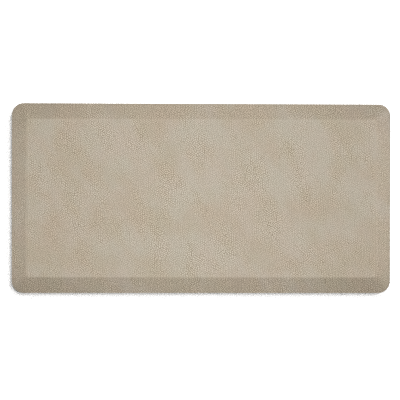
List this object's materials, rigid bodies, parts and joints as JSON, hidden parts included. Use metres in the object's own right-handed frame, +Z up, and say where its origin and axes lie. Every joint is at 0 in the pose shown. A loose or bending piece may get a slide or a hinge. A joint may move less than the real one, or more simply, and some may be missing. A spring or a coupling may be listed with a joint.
{
  "type": "anti-fatigue mat",
  "caption": "Rectangular padded standing mat with a flat top, wide sloping edges, rounded corners, a beige leather-look cover, a foam core and a ribbed non-slip base.",
  "frame": {"origin": "centre of the outline, on the floor plane that the grip ribs stand on", "axes": "+X along the length towards the right end, +Y along the depth towards the back edge, +Z up out of the standing surface"},
  "size_m": [1.2192, 0.6096, 0.0191],
  "materials": {
    "cover": "embossed leather-look polyurethane skin, mottled beige, satin",
    "backing_cloth": "knitted undyed backing cloth",
    "comfort_foam": "soft slow-rebound open-cell foam, matt",
    "core_foam": "dense closed-cell foam, matt",
    "ramp_foam": "firm closed-cell foam, matt",
    "base_rubber": "ribbed non-slip sheet, matt"
  },
  "bodies": {
    "root": {"top_cover": "cover", "cover_backing": "backing_cloth", "comfort_layer": "comfort_foam", "support_core": "core_foam", "ramp_front": "ramp_foam", "ramp_back": "ramp_foam", "ramp_left": "ramp_foam", "ramp_right": "ramp_foam", "base_sheet": "base_rubber"}
  },
  "joints": []
}
